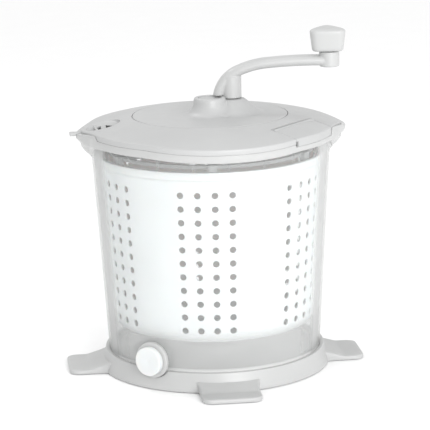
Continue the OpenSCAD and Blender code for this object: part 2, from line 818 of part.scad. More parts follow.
module crank_arm() color(white) {
    at_crank() difference() {
        union() {
            intersection() {
                arm_arcs(arm_start, arm_heading);
                translate([-60, -30, arm_foot_z]) cube([220, 60, 100]);
            }
            translate([0, 0, boss_foot_z]) cylinder(r = boss_r, h = boss_top_z - boss_foot_z);
            translate([crank_reach, 0, end_foot]) cylinder(r = boss_r, h = end_top - end_foot);
        }
        translate([0, 0, boss_foot_z - 10])
            cylinder(r = crank_shaft_r + fix, h = boss_top_z - shaft_cover - boss_foot_z + 10);
        translate([crank_reach, 0, end_foot + 3]) cylinder(r = knob_pin_r + fix, h = 40);
    }
}

module knob_pin() color(steel) {
    at_crank() translate([crank_reach, 0, end_foot + 3])
        cylinder(r = knob_pin_r, h = knob_bore_top - 3 - end_foot);
}

// Rounded three-cornered grip, a little wider at the top
module knob() color(warm_grey) {
    tall = knob_top - knob_foot;
    at_crank() translate([crank_reach, 0, knob_foot]) difference() {
        translate([knob_shift, 0, 0]) hull() for (a = [90, 210, 330]) rotate([0, 0, a]) {
            translate([13, 0, 0]) cylinder(r1 = 6.5, r2 = 8, h = 2, $fn = 32);
            translate([14.8, 0, tall - 6]) cylinder(r = 9, h = 2.5, $fn = 32);
            translate([13.4, 0, tall - 2]) cylinder(r1 = 8, r2 = 6, h = 2, $fn = 32);
        }
        translate([0, 0, -1]) cylinder(r = knob_pin_r + run, h = knob_bore_top + 0.05 - knob_foot + 1);
    }
}

tub();
base_ring();
foot_pads();
pivot_pin();
drain_collar();
drain_washer();
drain_nut();
drain_cap();
cap_seal();
pivot_cup();
basket();
drive_plate();
drive_nut();
spindle();
pinion();
spindle_clip();
crank_gear();
crank_shaft();
crank_clip();
spindle_bush_lower();
spindle_bush_upper();
crank_bush_lower();
crank_bush_upper();
gear_case();
case_screws();
gear_cover();
hub_cap();
lid();
lid_seal();
pour_flap();
flap_pin();
crank_arm();
knob_pin();
knob();
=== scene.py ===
"""Looks of the hand-cranked salad spinner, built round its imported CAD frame. Helpers work in millimetres."""

import json
import math

import bmesh
import bpy
import numpy as np
from mathutils import Matrix, Vector


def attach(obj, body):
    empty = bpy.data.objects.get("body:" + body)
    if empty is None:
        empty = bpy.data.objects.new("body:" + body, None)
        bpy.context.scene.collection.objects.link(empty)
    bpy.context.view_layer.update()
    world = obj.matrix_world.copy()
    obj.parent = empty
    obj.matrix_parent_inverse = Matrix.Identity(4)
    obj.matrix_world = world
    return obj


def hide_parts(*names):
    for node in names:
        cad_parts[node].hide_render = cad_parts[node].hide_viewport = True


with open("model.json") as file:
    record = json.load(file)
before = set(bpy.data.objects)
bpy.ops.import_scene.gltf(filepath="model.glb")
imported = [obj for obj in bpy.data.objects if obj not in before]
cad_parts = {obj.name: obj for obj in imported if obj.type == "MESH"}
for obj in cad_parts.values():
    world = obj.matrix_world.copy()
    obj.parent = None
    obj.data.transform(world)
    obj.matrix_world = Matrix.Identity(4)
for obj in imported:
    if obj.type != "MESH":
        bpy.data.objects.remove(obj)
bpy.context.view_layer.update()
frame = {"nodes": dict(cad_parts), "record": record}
MM = 0.001

# ---------------------------------------------------------------- shared sizes: the CAD's, with a finer SEAM
COVER_R, LID_TOP = 95.0, 313.6
MAIN_R, FRONT_R, FRONT_REACH = 151.8, 127.0, 160.0
EAR_R, EAR_REACH, EAR_SHIFT, EAR_INSET = 43.0, 166.0, 1.6, 6.0
SEAM, LID_BAND, LID_SHELL, RIM_BAND = 0.2, 6.4, 2.6, 9.5
RIM_DROP = LID_BAND + SEAM
TUB_WALL, MOUTH_R, MOUTH_Z, TAPER = 2.6, 147.4, 288.0, math.tan(math.radians(3.4))
FLAP_TURN, HINGE_N, HINGE_Z, PLATE_N = math.radians(-41), 116.0, 305.7, 119.2
BARREL_R, BARREL_GAP, PIN_BORE_R = 4.2, 0.2, 1.3
FLAP_FROM, FLAP_TO, FLAP_BAND, FLAP_GAP, FLAP_NOTCH = -37.6, 50.0, 9.6, 0.8, 3.5
SCOOP_REACH = 143.6  # the scoop's openings end at the tub's mouth
SHAFT = (30 * math.cos(math.radians(19.1)), 30 * math.sin(math.radians(19.1)))
CRANK_TURN, CRANK_REACH = math.radians(-6.5), 120.5
DRAIN_TURN, DRAIN_Z, COLLAR_R = math.radians(-129), 36.8, 22.0


def dome(r):
    x = np.maximum(0, np.asarray(r, float) - COVER_R)
    return LID_TOP - 0.155 * x - 1.6e-5 * x**3


def tub_r(z):
    return MOUTH_R - (MOUTH_Z - z) * TAPER


def wrap(a):
    return (a + math.pi) % (2 * math.pi) - math.pi


def reach(t, r0, centre, r1):
    """Distance to the outline of two circles joined by their outer tangents, at polar angles t."""
    d = math.hypot(*centre)
    a = math.atan2(centre[1], centre[0])
    f = math.acos((r0 - r1) / d)
    b = centre[0] * np.cos(t) + centre[1] * np.sin(t)
    inside = r1 * r1 - (d * d - b * b)
    out = np.maximum(r0, np.where(inside > 0, b + np.sqrt(np.maximum(inside, 0)), 0))
    for s in (-1, 1):
        phi = a + s * f
        end = math.atan2(centre[1] + r1 * math.sin(phi), centre[0] + r1 * math.cos(phi))
        span = wrap(end - phi)
        x = wrap(t - phi)
        on = (x * span >= 0) & (abs(x) <= abs(span))
        out = np.where(on, np.maximum(out, r0 / np.cos(np.where(on, x, 0))), out)
    return out


def outline_r(t, inset=0.0, ear_cut=0.0, ears=True):
    t = np.asarray(t, float)
    r0, rf, re = MAIN_R - inset, FRONT_R - inset, EAR_R - inset - ear_cut
    parts = [reach(t, r0, (0, s * (FRONT_REACH - FRONT_R)), rf) for s in (-1, 1)]
    if ears:
        parts += [reach(t, r0, (s * (EAR_REACH - EAR_R) + EAR_SHIFT, 0), re) for s in (-1, 1)]
    return np.max(parts, axis=0)


def smoothstep(x, a, b):
    u = np.clip((x - a) / (b - a), 0, 1)
    return u * u * (3 - 2 * u)


# ---------------------------------------------------------------- materials
def node(nt, kind, inputs, **settings):
    """New shader node; an input given as a socket is linked, any other is set."""
    added = nt.nodes.new("ShaderNode" + kind)
    for key, value in settings.items():
        setattr(added, key, value)
    for key, value in inputs.items():
        if isinstance(value, bpy.types.NodeSocket):
            nt.links.new(value, added.inputs[key])
        else:
            added.inputs[key].default_value = value
    return added


def material(name, colour, rough=0.4, grain=0.01, grain_scale=900, cloud=0.03, spread=0.06, **fixed):
    """Moulded plastic, rubber or metal: soft clouds in the colour, a fine moulded grain, uneven gloss."""
    mat = bpy.data.materials.new(name)
    mat.use_nodes = True
    nt = mat.node_tree
    shader = nt.nodes["Principled BSDF"]
    where = node(nt, "TexCoord", {}).outputs["Object"]

    def noise(scale, detail):
        return node(nt, "TexNoise", {"Scale": scale, "Detail": detail, "Vector": where}).outputs["Fac"]

    clouds = node(nt, "ValToRGB", {"Fac": noise(14, 3)})
    dark, light = clouds.color_ramp.elements
    dark.position, light.position = 0.3, 0.7
    dark.color = [c * (1 - cloud) for c in colour] + [1]
    light.color = [min(1, c * (1 + cloud)) for c in colour] + [1]
    gloss = node(nt, "MapRange", {"Value": noise(60, 4), "To Min": max(0.02, rough - spread),
                                  "To Max": rough + spread})
    bump = node(nt, "Bump", {"Height": noise(grain_scale, 2), "Strength": 1, "Distance": grain * MM})
    nt.links.new(clouds.outputs["Color"], shader.inputs["Base Color"])
    nt.links.new(gloss.outputs["Result"], shader.inputs["Roughness"])
    nt.links.new(bump.outputs["Normal"], shader.inputs["Normal"])
    for key, value in fixed.items():
        shader.inputs[key.replace("_", " ")].default_value = value
    return mat


def clear_plastic(name):
    """Clear moulding: a light veil face on, denser seen edge on, in the thick rim and at the foot; the denser
    veil at the foot and over the floor is painted light, and the greyer colour seen edge on is painted shade.
    """
    mat = material(name, (0.7, 0.705, 0.7), rough=0.14, grain=0.004, grain_scale=300, spread=0.04)
    nt = mat.node_tree
    shader = nt.nodes["Principled BSDF"]
    smooth = {"interpolation_type": "SMOOTHSTEP"}
    facing = node(nt, "LayerWeight", {"Blend": 0.5}).outputs["Facing"]
    edge_on = node(nt, "MapRange", {"Value": facing, "From Min": 0.57, "From Max": 0.67, "To Min": 0.155,
                                    "To Max": 0.6}, **smooth).outputs["Result"]
    axes = node(nt, "SeparateXYZ", {"Vector": node(nt, "TexCoord", {}).outputs["Object"]}).outputs
    flat = node(nt, "CombineXYZ", {"X": axes["X"], "Y": axes["Y"]}).outputs["Vector"]
    radius = node(nt, "VectorMath", {0: flat}, operation="LENGTH").outputs["Value"]
    veil = edge_on
    # painted light: the foot and floor zones make the veil denser than the milky plastic is, so a lit sheet
    # lifts the shade low in the tub in place of light coming in through the walls
    zones = ((radius, 0.1479, 0.1495, 0.92),  # flange and ears
             (axes["Z"], 0.085, 0.06, 0.34),  # foot of the wall
             (axes["Z"], 0.031, 0.024, 0.8))  # floor
    for source, start, end, amount in zones:
        zone = node(nt, "MapRange", {"Value": source, "From Min": start, "From Max": end, "To Min": 0.0,
                                     "To Max": amount}, **smooth).outputs["Result"]
        veil = node(nt, "Math", {0: veil, 1: zone}, operation="MAXIMUM").outputs["Value"]
    # the plastic's colour: painted shade makes the wall greyer where it is seen edge on, standing in for how
    # dark clear plastic looks at a grazing angle; a flat grey in the flange
    wall = node(nt, "MixRGB", {"Fac": edge_on, "Color1": (0.78, 0.785, 0.78, 1),
                               "Color2": (0.35, 0.354, 0.352, 1)}).outputs["Color"]
    flange = node(nt, "MapRange", {"Value": radius, "From Min": 0.1475, "From Max": 0.149}).outputs["Result"]
    tone = node(nt, "MixRGB", {"Fac": flange, "Color1": wall, "Color2": (0.5, 0.504, 0.502, 1)})
    nt.links.new(tone.outputs["Color"], shader.inputs["Base Color"])
    clear = node(nt, "BsdfTransparent", {"Color": (0.975, 0.98, 0.98, 1)}).outputs["BSDF"]
    mix = node(nt, "MixShader", {"Fac": veil, 1: clear, 2: shader.outputs["BSDF"]})
    nt.links.new(mix.outputs["Shader"], nt.nodes["Material Output"].inputs["Surface"])
    return mat


MAT = {
    "clear_plastic": clear_plastic("clear_plastic"),
    "white_basket": material("white_basket", (0.91, 0.91, 0.905), rough=0.38, Subsurface_Weight=0.08),
    "lid_plastic": material("lid_plastic", (0.445, 0.449, 0.449), rough=0.42),
    "ring_plastic": material("ring_plastic", (0.455, 0.459, 0.457), rough=0.4),
    "crank_plastic": material("crank_plastic", (0.46, 0.464, 0.462), rough=0.32),
    "knob_plastic": material("knob_plastic", (0.46, 0.464, 0.462), rough=0.38),
    "cap_plastic": material("cap_plastic", (0.68, 0.68, 0.675), rough=0.35, Subsurface_Weight=0.08),
    "gear_plastic": material("gear_plastic", (0.78, 0.77, 0.73), rough=0.4, grain=0.006),
    "steel": material("steel", (0.62, 0.62, 0.63), rough=0.28, grain=0.002, grain_scale=2500, Metallic=1.0),
    "seal_rubber": material("seal_rubber", (0.045, 0.045, 0.05), rough=0.7, grain=0.02, cloud=0.15),
}


# ---------------------------------------------------------------- mesh helpers
def piece(name, verts, faces, slot, weld=0.002, angle=34):
    mesh = bpy.data.meshes.new(name)
    mesh.from_pydata([tuple(float(c) * MM for c in v) for v in verts], [], faces)
    work = bmesh.new()
    work.from_mesh(mesh)
    bmesh.ops.remove_doubles(work, verts=work.verts, dist=weld * MM)
    bmesh.ops.recalc_face_normals(work, faces=work.faces)
    work.to_mesh(mesh)
    work.free()
    ob = bpy.data.objects.new(name, mesh)
    bpy.context.scene.collection.objects.link(ob)
    mesh.materials.append(MAT[slot])
    shade(ob, angle)
    return ob


def shade(ob, angle=34):
    mesh = ob.data
    mesh.polygons.foreach_set("use_smooth", [True] * len(mesh.polygons))
    mesh.set_sharp_from_angle(angle=math.radians(angle))


def finish_piece(ob, body, slot, *nodes):
    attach(ob, body)
    if nodes:
        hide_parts(*nodes)
    return ob


def apply(ob):
    """Bakes the object's modifiers into its mesh."""
    deps = bpy.context.evaluated_depsgraph_get()
    done = bpy.data.meshes.new_from_object(ob.evaluated_get(deps), depsgraph=deps)
    ob.modifiers.clear()
    old = ob.data
    ob.data = done
    bpy.data.meshes.remove(old)


def join(keep, *others):
    work = bmesh.new()
    for ob in (keep, *others):
        work.from_mesh(ob.data)
    work.to_mesh(keep.data)
    work.free()
    for ob in others:
        bpy.data.objects.remove(ob)
    return keep


def boolean(ob, tool, how, bevel=0.0):
    """Cuts or joins with tool, then rounds the new edges by bevel."""
    marker = bpy.data.materials.get("cut_marker") or bpy.data.materials.new("cut_marker")
    tool.data.materials.clear()
    tool.data.materials.append(marker)
    mod = ob.modifiers.new("cut", "BOOLEAN")
    mod.operation, mod.object, mod.solver, mod.material_mode = how, tool, "EXACT", "TRANSFER"
    apply(ob)
    bpy.data.objects.remove(tool)
    mesh = ob.data
    work = bmesh.new()
    work.from_mesh(mesh)
    cut = [i for i, m in enumerate(mesh.materials) if m == marker]
    if bevel and cut:
        edges = [
            e for e in work.edges
            if len(e.link_faces) == 2
            and (e.link_faces[0].material_index in cut) != (e.link_faces[1].material_index in cut)
            and e.calc_face_angle(0) > math.radians(25)
        ]
        bmesh.ops.bevel(
            work, geom=edges, offset=bevel * MM, offset_type="OFFSET", segments=3, profile=0.5,
            affect="EDGES", clamp_overlap=True,
        )
    for f in work.faces:
        f.material_index = 0
    bmesh.ops.remove_doubles(work, verts=work.verts, dist=0.004 * MM)
    bmesh.ops.dissolve_degenerate(work, edges=work.edges, dist=0.002 * MM)
    work.to_mesh(mesh)
    work.free()
    while len(mesh.materials) > 1:
        mesh.materials.pop(index=len(mesh.materials) - 1)
    shade(ob)


def rounded(points, radius=0.5, steps=4):
    """Closed outline with its corners rounded; a point may carry its own radius."""
    out, n = [], len(points)
    for i in range(n):
        p, a, b = (np.array(points[k % n][:2], float) for k in (i, i - 1, i + 1))
        r = points[i][2] if len(points[i]) > 2 else radius
        u, v = a - p, b - p
        lu, lv = np.linalg.norm(u), np.linalg.norm(v)
        if r <= 0 or lu < 1e-9 or lv < 1e-9:
            out.append(tuple(p))
            continue
        u, v = u / lu, v / lv
        half = math.acos(max(-1, min(1, float(u @ v)))) / 2
        if half > 1.5 or half < 0.02:
            out.append(tuple(p))
            continue
        cut = min(r / math.tan(half), 0.46 * lu, 0.46 * lv)
        r = cut * math.tan(half)
        centre = p + (u + v) / np.linalg.norm(u + v) * r / math.sin(half)
        s, e = p + u * cut - centre, p + v * cut - centre
        sweep = math.acos(max(-1, min(1, float(s @ e) / r / r)))
        for k in range(steps + 1):
            w = k / steps
            q = (math.sin((1 - w) * sweep) * s + math.sin(w * sweep) * e) / max(math.sin(sweep), 1e-9)
            out.append(tuple(centre + q))
    return out


def loft(loops, close=True, caps=False):
    """Faces between equal loops of points; close joins the last loop to the first, caps fills both ends."""
    n, m = len(loops[0]), len(loops)
    verts = [p for loop in loops for p in loop]
    faces = []
    for i in range(m if close else m - 1):
        a, b = i * n, (i + 1) % m * n
        for j in range(n):
            k = (j + 1) % n
            faces.append((a + j, a + k, b + k, b + j))
    if caps:
        faces += [tuple(range(n))[::-1], tuple(range((m - 1) * n, m * n))]
    return verts, faces


def lathe(profile, steps=180, about=(0, 0)):
    loops = [
        [(about[0] + r * math.cos(t), about[1] + r * math.sin(t), z) for r, z in profile]
        for t in (2 * math.pi * i / steps for i in range(steps))
    ]
    return loft(loops)


def placed(shape, matrix):
    return [tuple(matrix @ Vector(v)) for v in shape[0]], shape[1]


def together(*shapes):
    verts, faces = [], []
    for v, f in shapes:
        base = len(verts)
        verts += list(v)
        faces += [tuple(i + base for i in face) for face in f]
    return verts, faces


def box_shape(lo, hi, radius=0.6):
    """Box with rounded vertical and horizontal edges, as a stack of rounded rectangles."""
    levels = []
    for k in range(4):
        a = math.pi / 2 * k / 3
        levels.append((radius * (1 - math.sin(a)), lo[2] + radius * (1 - math.cos(a))))
    levels += [(inset, hi[2] - (z - lo[2])) for inset, z in reversed(levels)]
    loops = []
    for inset, z in levels:
        x0, y0, x1, y1 = lo[0] + inset, lo[1] + inset, hi[0] - inset, hi[1] - inset
        loop = rounded([(x0, y0), (x1, y0), (x1, y1), (x0, y1)], max(radius - inset, 0.05), 3)
        loops.append([(x, y, z) for x, y in loop])
    return loft(loops, close=False, caps=True)


def smooth_line(points, count):
    """Catmull-Rom line through the points, with even steps in its parameter."""
    p = np.array(points, float)
    p = np.vstack([2 * p[0] - p[1], p, 2 * p[-1] - p[-2]])
    out = []
    for s in np.linspace(0, len(points) - 1, count):
        i = min(int(s), len(points) - 2)
        u = s - i
        a, b, c, d = p[i : i + 4]
        out.append(0.5 * (2 * b + (c - a) * u + (2 * a - 5 * b + 4 * c - d) * u**2
                          + (3 * b - a - 3 * c + d) * u**3))
    return np.array(out)


def turn_z(a):
    return Matrix.Rotation(a, 4, "Z")


# ---------------------------------------------------------------- tub
def tub_section(d):
    """Closed section at d degrees: out under the floor, up the wall, over the rim and back inside."""
    t = math.radians(d)
    rim = float(outline_r(t))
    plain = float(outline_r(t, ears=False))
    ear = float(smoothstep(rim - plain, 0, (EAR_REACH - MAIN_R) * 0.9))
    lid = float(outline_r(t, -SEAM, EAR_INSET))
    side = math.degrees(wrap(t))
    low = 3.2 * float(smoothstep(side, -55.4, -55.1) * (1 - smoothstep(side, -22.1, -21.8)))
    notch = float(smoothstep(d, 177.6, 178.0) * (1 - smoothstep(d, 182.0, 182.4)))

    def top(r):
        return float(dome(r)) - RIM_DROP - low

    wall_in = MOUTH_R - TUB_WALL
    lip_in = min(lid, rim - 0.25)
    lip_top = float(dome(rim)) - 0.6
    has_lip = float(smoothstep(rim - lid, 0.5, 1.2)) * (1 - notch) * (1 if low < 1 else 0)
    lip = top(rim) + (lip_top - top(rim)) * has_lip
    edge = 0.5 if has_lip < 0.5 else min(1.3, (rim - lip_in) / 2.2)
    zt = float(dome(rim)) - RIM_DROP

    def mixed(a, b):
        return (a[0] + (b[0] - a[0]) * ear, a[1] + (b[1] - a[1]) * ear)

    s = rim / EAR_REACH
    wall_low = zt - RIM_BAND - 3.0
    section = [  # from the pivot's bore out along the underside, and up the wall
        (4.1, 27.0), (5.9, 27.0), (6.0, 26.0), (6.0, 20.0), (8.9, 20.0), (9.0, 38.0), (14.6, 41.0),
        (15.6, 40.6), (30.5, 29.0), (45.4, 17.4), (46.6, 17.0), (88.0, 17.0), (tub_r(17) - 3.6, 17.0),
        (tub_r(17) - 2.6, 16.0), (tub_r(10) - 2.6, 10.0), (tub_r(10) - 2.1, 9.5), (tub_r(10) - 0.5, 9.5),
        (tub_r(10), 10.0), (tub_r(14), 14.0),
    ]
    section += [(tub_r(z), z) for z in (22, 34, 52, 80, 110, 140, 170, 200, 225, 245, 258)]
    section += [  # under the rim: a band round the wall, blended into the ears' deeper brackets
        mixed((tub_r(266), 266.0), (tub_r(262), 262.0)),
        mixed((tub_r(wall_low), wall_low), (tub_r(266.5) + 0.3, 266.8)),
        mixed((tub_r(wall_low) + 0.8, wall_low + 2.2), (150.6, 271.8)),
        mixed((tub_r(wall_low) + 2.6, zt - RIM_BAND), (155.4, 276.1)),
        mixed((rim - 1.6, zt - RIM_BAND), (160.0 * min(s, 1) + (1 - min(s, 1)) * 4, 280.4)),
        mixed((rim - 0.5, zt - RIM_BAND + 0.4), (161.2 * s, 285.4)),
        mixed((rim, zt - RIM_BAND + 1.5), (rim - 1.3, 289.0)),
        mixed((rim, zt - 4.5), (rim - 0.3, 291.6)),
        (rim, lip - edge),
    ]
    for a in (22, 45, 68, 90):
        a = math.radians(a)
        section.append((rim - edge + edge * math.cos(a), lip - edge + edge * math.sin(a)))
    # over the rim's top to the mouth, down the inside and in over the floor to the bore
    inner = min(lip_in + 0.2, rim - edge - 0.05)
    section += [
        (inner + 0.25, lip), (inner, lip - 0.3 * has_lip), (lip_in, lip - 1.0 * has_lip - 0.01),
        (lip_in - 0.02, top(lip_in) + 0.5 * has_lip), (lip_in - 0.6, top(lip_in - 0.6)),
    ]
    for k in (1, 2, 3):
        r = lip_in - 0.6 + (wall_in + 0.8 - lip_in + 0.6) * k / 3
        section.append((r, top(r)))
    section += [(wall_in + 0.2, top(wall_in) - 0.25), (wall_in, top(wall_in) - 0.9), (wall_in, 288.0)]
    section += [(tub_r(z) - TUB_WALL, z) for z in (258, 225, 190, 150, 110, 70, 40, 30)]
    foot_r = tub_r(20) - TUB_WALL
    section += [(foot_r - 0.2, 26.0), (foot_r - 1.6, 22.0), (foot_r - 4.8, 20.0), (foot_r - 8, 19.6),
                (90.0, 19.6), (47.6, 19.6), (46.4, 20.0), (31.4, 31.7), (16.4, 43.2), (15.4, 43.6),
                (9.8, 43.8), (9.0, 44.6), (9.0, 45.4), (8.4, 46.0), (4.7, 46.0), (4.1, 45.4)]
    return [(r * math.cos(t), r * math.sin(t), z) for r, z in section]


def tub():
    # ends of the flap's gap and of the hook's notch
    marks = [-55.4, -55.1, -22.1, -21.8, 177.6, 178.0, 182.0, 182.4]
    degrees = sorted(set([d % 360 for d in marks] + list(range(360))))
    degrees = [d for i, d in enumerate(degrees) if i == 0 or d - degrees[i - 1] > 0.05]
    shape = loft([tub_section(d) for d in degrees])
    ribs = []
    for i in range(21):
        rib = box_shape((141.9, -0.6, 271), (145.2, 0.6, 290), 0.3)
        ribs.append(placed(rib, turn_z(math.radians(-88 + i * 360 / 21))))
    pad = lathe(rounded([(11.1, 128), (18, 128), (18, 135, 0.8), (11.1, 135)], 0.2), 72)
    ob = piece("tub_shell", *together(shape, *ribs, placed(pad, drain_matrix())), "clear_plastic")
    finish_piece(ob, "stand", "clear_plastic", "tub")


def drain_matrix():
    return turn_z(DRAIN_TURN) @ Matrix.Translation((0, 0, DRAIN_Z)) @ Matrix.Rotation(math.pi / 2, 4, "Y")


# ---------------------------------------------------------------- base ring
def base_ring():
    inner, ring, ledge = tub_r(23.5) + 0.15, 142.6, 134.0
    profile = [(inner, 9.6, 0.3), (116, 9.5, 0.6), (116, 6.5, 0.6), (ring - 6.5, 6.5, 1),
               (ring - 3, 0.8, 0.6), (ring, 0.8, 0.9), (ring - 0.3, 4, 3), (ring - 2, 9, 5),
               (ring - 4, 14, 5), (ring - 5.5, 19, 5), (ring - 6.4, 23.5, 0.9), (inner, 23.5, 0.5)]
    shapes = [lathe(rounded(profile, 0.5), 240)]
    foot_tip, foot_half, corner, edge, root = 184.5, 36.0, 13.0, 2.4, 146.0
    side_end = foot_tip - corner
    tip = foot_tip - edge * (1 - np.sin(np.linspace(0.1, math.pi / 2, 6)))
    stations = np.concatenate([np.linspace(ledge, 168, 24), np.linspace(170, 182, 9), tip])
    loops = []
    for x in stations:
        half = foot_half
        if x >= side_end:
            half = foot_half - corner + math.sqrt(max(0.0, corner**2 - (x - side_end) ** 2))
        elif x < root:
            half = foot_half + corner - math.sqrt(corner**2 - (root - x) ** 2)
        drop = max(0.0, x - (foot_tip - edge)) / edge
        shrink = edge * (1 - math.sqrt(max(0.0, 1 - drop**2)))
        z_top = 6.2 + 10 * (max(0.0, 160 - x) / 28) ** 1.3 - shrink
        z_low = 0.6 + min(shrink, 1.6) * 0.6
        tall = z_top - z_low
        soft = min(2.4, tall * 0.45)
        loop = rounded([(-half, z_low, min(1.2, tall * 0.3)), (half, z_low, min(1.2, tall * 0.3)),
                        (half, z_top, soft), (0, z_top, 0), (-half, z_top, soft)], 1, 4)
        bend = min(1.0, max(0.0, (150 - x) / 16))  # the root follows the ring's curve
        loops.append([(x - (ledge - math.sqrt(ledge**2 - y * y)) * bend, y, z) for y, z in loop])
    foot = loft(loops, close=False, caps=True)
    shapes += [placed(foot, turn_z(math.pi / 2 * k)) for k in range(4)]
    ob = piece("base_ring_shell", *shapes[0], "ring_plastic")
    boolean(ob, piece("feet", *together(*shapes[1:]), "ring_plastic"), "UNION")
    notch_r = COLLAR_R + 0.8
    notch = lathe([(0, 128), (notch_r, 128), (notch_r, 165), (0, 165)], 96)
    boolean(ob, piece("notch", *placed(notch, drain_matrix()), "ring_plastic"), "DIFFERENCE", bevel=0.4)
    finish_piece(ob, "stand", "ring_plastic", "base_ring")


# ---------------------------------------------------------------- drain
def drain():
    m = drain_matrix()
    collar = [(8.5, 120), (11, 120, 0.3), (11, 134.8), (19, 135, 0.4), (19, 137.5, 0.4),
              (COLLAR_R, 137.5, 1.2), (COLLAR_R, 143, 1.6), (13, 143, 0.3), (13, 148, 0.6), (8.5, 148, 0.3)]
    ob = piece("drain_collar_turned", *placed(lathe(rounded(collar, 0.2), 96), m), "ring_plastic")
    finish_piece(ob, "stand", "ring_plastic", "drain_collar")
    cap = [(0, 149.3), (13.3, 149.25), (13.3, 143.6), (17.6, 143.6, 0.5), (17.6, 150.6, 1.0), (14, 150.6, 3),
           (0, 150.4)]
    ob = piece("drain_cap_turned", *placed(lathe(rounded(cap, 0.2, 5), 96), m), "cap_plastic")
    finish_piece(ob, "drain_cap", "cap_plastic", "drain_cap")


# ---------------------------------------------------------------- basket
B_TOP, B_LOW, B_RIM, B_WALL, B_CORNER = 268.6, 56.0, 139.6, 2.4, 12.0
HOLE_R, TOP_ROW, ROW_PITCH, COLUMN, ROWS = 3.95, 240.0, 16.75, 8.9, 11
GROUP_TURN, GROUPS = -9.3 - 90, 6
SIDE, HALF_H, HALF_W = 6, ROW_PITCH / 2, COLUMN / 2  # faces along a hole's cell, and half the cell's size
UPPER, LOWER = TOP_ROW + HALF_H, TOP_ROW - (ROWS - 1) * ROW_PITCH - HALF_H
PLAIN, PLAIN_SPAN = 16, 60 - 4 * COLUMN  # faces across the plain wall between two groups, and its degrees
ALONG = [-1 + 2 * k / SIDE for k in range(SIDE)]
CELL = ([(1, s) for s in ALONG] + [(-s, 1) for s in ALONG] + [(-1, -s) for s in ALONG]
        + [(s, -1) for s in ALONG])
# rings from the cell's edge to the hole: share of the way out, gap round the hole and depth in the wall
HOLE_RINGS = ((0.45, 0.0, 0.0), (0.0, 0.45, 0.0), (0.0, 0.12, 0.13), (0.0, 0.0, 0.42))


def basket_r(z, depth=0.0):
    """Radius of the wall at height z: depth 0 is the outer face, depth 1 the inner one."""
    slope = math.tan(math.radians(3.2))
    low = B_RIM - 3.4 - (B_TOP - B_LOW - B_CORNER) * slope

    def face(r_corner, shift):
        if z >= B_LOW + B_CORNER:
            return B_RIM - 3.4 - (B_TOP - z) * slope - shift
        x = min(1.0, (B_LOW + B_CORNER - z) / r_corner)
        return low - B_CORNER + r_corner * math.sqrt(1 - x * x)

    outer, inner = face(B_CORNER, 0), face(B_CORNER - B_WALL, B_WALL)
    return outer + (inner - outer) * depth


def around(deg, r, z):
    return (r * math.cos(math.radians(deg)), r * math.sin(math.radians(deg)), z)


def hole_ring(deg, z0, depth, share, gap):
    r0 = basket_r(z0)
    row = []
    for u, v in CELL:
        w, h = u * HALF_W * math.radians(1) * r0, v * HALF_H
        length = math.hypot(w, h)
        rho = HOLE_R + gap + (length - HOLE_R) * share
        x, y = w / length * rho, h / length * rho
        row.append(around(deg + math.degrees(x / r0), basket_r(z0 + y, depth), z0 + y))
    return row


def hole_cell(deg, z0):
    """Stretch of wall with one hole: out of its square cell's edge on one face, through, and back."""
    faces = []
    for face, inward in ((0.0, 1), (1.0, -1)):
        rows = [[around(deg + u * HALF_W, basket_r(z0 + v * HALF_H, face), z0 + v * HALF_H) for u, v in CELL]]
        for share, gap, depth in HOLE_RINGS:
            rows.append(hole_ring(deg, z0, face + inward * depth / B_WALL, share, gap))
        faces.append(rows)
    return loft(faces[0] + faces[1][::-1], close=False)


def plain_wall(first, depth):
    heights = np.linspace(UPPER, LOWER, ROWS * SIDE + 1)
    columns = [first + PLAIN_SPAN * k / PLAIN for k in range(PLAIN + 1)]
    verts = [around(a, basket_r(h, depth), h) for h in heights for a in columns]
    faces = []
    for i in range(len(heights) - 1):
        for j in range(PLAIN):
            a = i * (PLAIN + 1) + j
            faces.append((a, a + 1, a + PLAIN + 2, a + PLAIN + 1))
    return verts, faces


def drill_floor(ob):
    drills = []
    for k in (1, 2, 3):
        for i in range(6 * (k + 1)):
            a = math.radians(i * 60 / (k + 1))
            x, y = (14 + 26 * k) * math.cos(a), (14 + 26 * k) * math.sin(a)
            drills.append(lathe([(0, 50), (HOLE_R, 50), (HOLE_R, 62), (0, 62)], 28, (x, y)))
    tool = piece("floor_drills", *together(*drills), "white_basket", weld=0.001)
    boolean(ob, tool, "DIFFERENCE")


